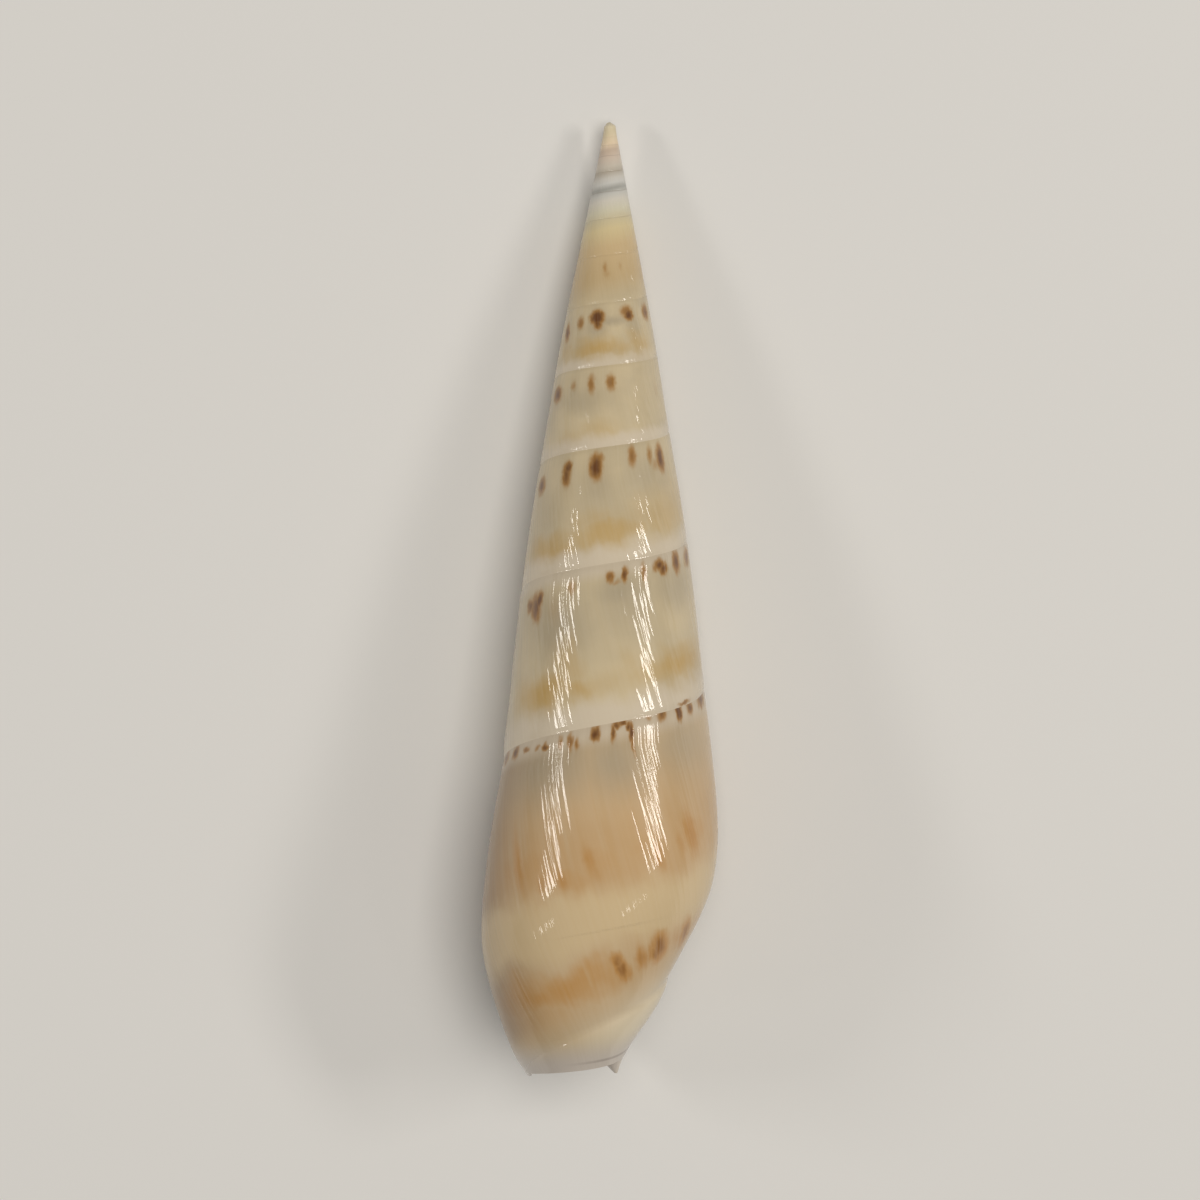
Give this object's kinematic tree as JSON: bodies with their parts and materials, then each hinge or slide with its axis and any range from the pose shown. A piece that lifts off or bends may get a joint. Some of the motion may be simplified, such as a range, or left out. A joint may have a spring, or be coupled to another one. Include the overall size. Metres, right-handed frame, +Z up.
{
  "type": "sea shell",
  "caption": "Slender glossy auger snail shell lying on its opening: tall pointed spire of flat whorls, narrow mouth with a thin lip, notched base with a pointed columella.",
  "frame": {"origin": "middle of the shell's box, on the ground it lies on", "axes": "+Y along the shell towards the apex, +Z up out of the middle of its back, +X to the right seen from above with the apex away"},
  "size_m": [0.0104, 0.0418, 0.0104],
  "materials": {
    "shell": "glossy"
  },
  "bodies": {
    "root": {"shell": "shell"}
  },
  "joints": []
}
